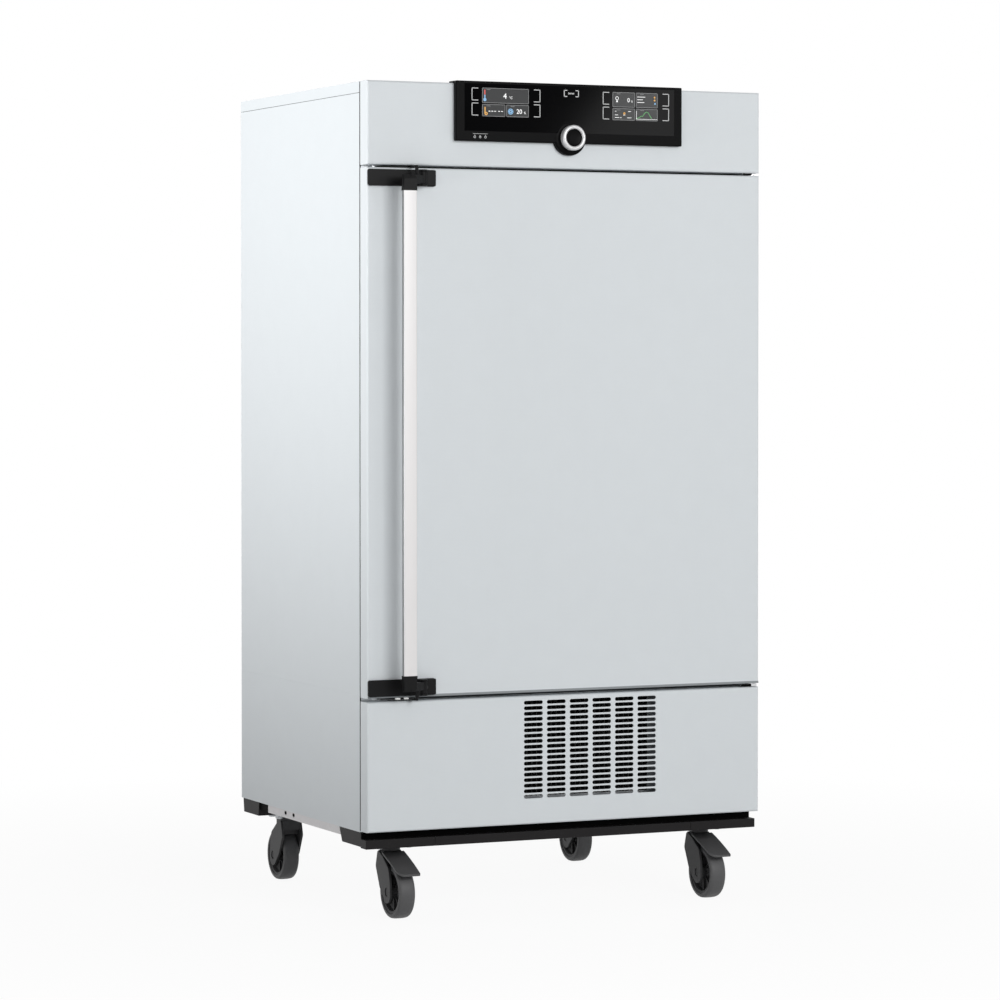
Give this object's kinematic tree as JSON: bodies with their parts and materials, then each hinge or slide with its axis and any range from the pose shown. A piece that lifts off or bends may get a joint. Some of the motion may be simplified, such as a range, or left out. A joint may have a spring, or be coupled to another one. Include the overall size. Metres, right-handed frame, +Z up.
{
  "type": "cooled laboratory incubator",
  "caption": "Tall floor-standing cooled incubator on braked casters, with a solid insulated door, long bar handle, inner glass door, black control panel and louvred machine compartment.",
  "frame": {"origin": "middle of the overall box at floor level, under the casters", "axes": "+Z up; -Y is the front with the door and the controls; +X is to the right seen from the front, the side of the door hinges"},
  "size_m": [0.824, 0.748, 1.569],
  "materials": {
    "casing_steel": "fine linen-textured, bright",
    "galvanised": "zinc-coated, matt",
    "stainless": "brushed",
    "black_moulding": "fine grain, matt",
    "panel_black": "satin black",
    "black_glass": "polished black",
    "screen": "glossy",
    "circuit_board": "satin",
    "bright_metal": "turned, satin",
    "pin_steel": "bright",
    "white_bush": "smooth",
    "pane": "clear",
    "gasket": "matt",
    "rubber_black": "matt",
    "mineral_wool": "fibrous",
    "copper_tube": "bright copper",
    "condenser_metal": "satin",
    "compressor_black": "semi-gloss enamel",
    "motor_grey": "satin",
    "fan_plastic": "satin",
    "caster_grey": "fine grain",
    "tyre_grey": "matt"
  },
  "bodies": {
    "cabinet": {"base_trim": "black_moulding", "base_rails": "galvanised", "base_tray": "galvanised", "side_panel_left": "casing_steel", "side_panel_right": "casing_steel", "top_cover": "casing_steel", "rear_panel": "galvanised", "rear_vent_cover": "galvanised", "rear_spacers": "rubber_black", "front_frame": "stainless", "header_panel": "casing_steel", "lower_panel": "casing_steel", "chamber_liner": "stainless", "air_baffle": "stainless", "shelf_runners": "stainless", "shelves": "stainless", "cabinet_insulation": "mineral_wool", "refrigerant_circuit": "copper_tube", "circulation_motor": "motor_grey", "compressor": "compressor_black", "condenser": "condenser_metal", "fan_shroud": "fan_plastic", "power_inlet": "black_moulding", "control_bezel": "panel_black", "control_glass": "black_glass", "displays": "screen", "control_board": "circuit_board", "door_hinge_brackets": "pin_steel", "frame_fittings": "stainless", "caster_plates": "caster_grey"},
    "door": {"door_skin": "casing_steel", "door_inner_panel": "stainless", "door_insulation": "mineral_wool", "door_gasket": "gasket", "door_hinge_bushes": "white_bush", "handle_brackets": "black_moulding"},
    "handle": {"handle_levers": "black_moulding", "handle_bar": "bright_metal"},
    "glass_door": {"glass_pane": "pane", "glass_door_fittings": "stainless"},
    "knob_spindle": {"knob_stem": "pin_steel"},
    "knob": {"knob_ring": "bright_metal", "knob_cap": "panel_black"},
    "chamber_fan": {"circulation_fan": "bright_metal"},
    "machine_fan": {"condenser_fan": "fan_plastic"},
    "front_left_caster": {"front_left_fork": "caster_grey"},
    "front_left_wheel": {"front_left_hub": "caster_grey", "front_left_tyre": "tyre_grey"},
    "front_left_brake": {"front_left_pedal": "caster_grey"},
    "rear_left_caster": {"rear_left_fork": "caster_grey"},
    "rear_left_wheel": {"rear_left_hub": "caster_grey", "rear_left_tyre": "tyre_grey"},
    "front_right_caster": {"front_right_fork": "caster_grey"},
    "front_right_wheel": {"front_right_hub": "caster_grey", "front_right_tyre": "tyre_grey"},
    "front_right_brake": {"front_right_pedal": "caster_grey"},
    "rear_right_caster": {"rear_right_fork": "caster_grey"},
    "rear_right_wheel": {"rear_right_hub": "caster_grey", "rear_right_tyre": "tyre_grey"}
  },
  "joints": [
    {"name": "door_swing", "type": "hinge", "parent": "cabinet", "child": "door", "pos_m": [0.4, -0.305, 0.912], "axis": [0, 0, 1], "range_deg": [0, 110]},
    {"name": "glass_door_swing", "type": "hinge", "parent": "cabinet", "child": "glass_door", "pos_m": [0.34, -0.262, 0.912], "axis": [0, 0, 1], "range_deg": [0, 99]},
    {"name": "handle_turn", "type": "hinge", "parent": "door", "child": "handle", "pos_m": [-0.306, -0.3325, 0.912], "axis": [0, 0, 1], "range_deg": [0, 60]},
    {"name": "knob_push", "type": "slide", "parent": "cabinet", "child": "knob_spindle", "axis": [0, 1, 0], "range_m": [0, 0.001], "stiffness_N_per_m": 800},
    {"name": "knob_turn", "type": "hinge", "parent": "knob_spindle", "child": "knob", "pos_m": [0, -0.338, 1.467], "axis": [0, 1, 0], "continuous": true},
    {"name": "chamber_fan_spin", "type": "hinge", "parent": "cabinet", "child": "chamber_fan", "pos_m": [0, 0.258, 0.912], "axis": [0, 1, 0], "continuous": true},
    {"name": "machine_fan_spin", "type": "hinge", "parent": "cabinet", "child": "machine_fan", "pos_m": [0.048, -0.192, 0.31125], "axis": [0, 1, 0], "continuous": true},
    {"name": "front_left_swivel", "type": "hinge", "parent": "cabinet", "child": "front_left_caster", "pos_m": [-0.328, -0.227, 0.13], "axis": [0, 0, 1], "continuous": true},
    {"name": "front_left_roll", "type": "hinge", "parent": "front_left_caster", "child": "front_left_wheel", "pos_m": [-0.328, -0.263, 0.05], "axis": [1, 0, 0], "continuous": true},
    {"name": "front_left_brake_press", "type": "hinge", "parent": "front_left_caster", "child": "front_left_brake", "pos_m": [-0.328, -0.244, 0.113], "axis": [1, 0, 0], "range_deg": [0, 8]},
    {"name": "rear_left_swivel", "type": "hinge", "parent": "cabinet", "child": "rear_left_caster", "pos_m": [-0.328, 0.288, 0.13], "axis": [0, 0, 1], "continuous": true},
    {"name": "rear_left_roll", "type": "hinge", "parent": "rear_left_caster", "child": "rear_left_wheel", "pos_m": [-0.328, 0.324, 0.05], "axis": [1, 0, 0], "continuous": true},
    {"name": "front_right_swivel", "type": "hinge", "parent": "cabinet", "child": "front_right_caster", "pos_m": [0.328, -0.227, 0.13], "axis": [0, 0, 1], "continuous": true},
    {"name": "front_right_roll", "type": "hinge", "parent": "front_right_caster", "child": "front_right_wheel", "pos_m": [0.328, -0.263, 0.05], "axis": [1, 0, 0], "continuous": true},
    {"name": "front_right_brake_press", "type": "hinge", "parent": "front_right_caster", "child": "front_right_brake", "pos_m": [0.328, -0.244, 0.113], "axis": [1, 0, 0], "range_deg": [0, 8]},
    {"name": "rear_right_swivel", "type": "hinge", "parent": "cabinet", "child": "rear_right_caster", "pos_m": [0.328, 0.288, 0.13], "axis": [0, 0, 1], "continuous": true},
    {"name": "rear_right_roll", "type": "hinge", "parent": "rear_right_caster", "child": "rear_right_wheel", "pos_m": [0.328, 0.324, 0.05], "axis": [1, 0, 0], "continuous": true}
  ],
  "couplings": [
    {"joint": "glass_door_swing", "follows": "door_swing", "ratio": 0.9}
  ]
}
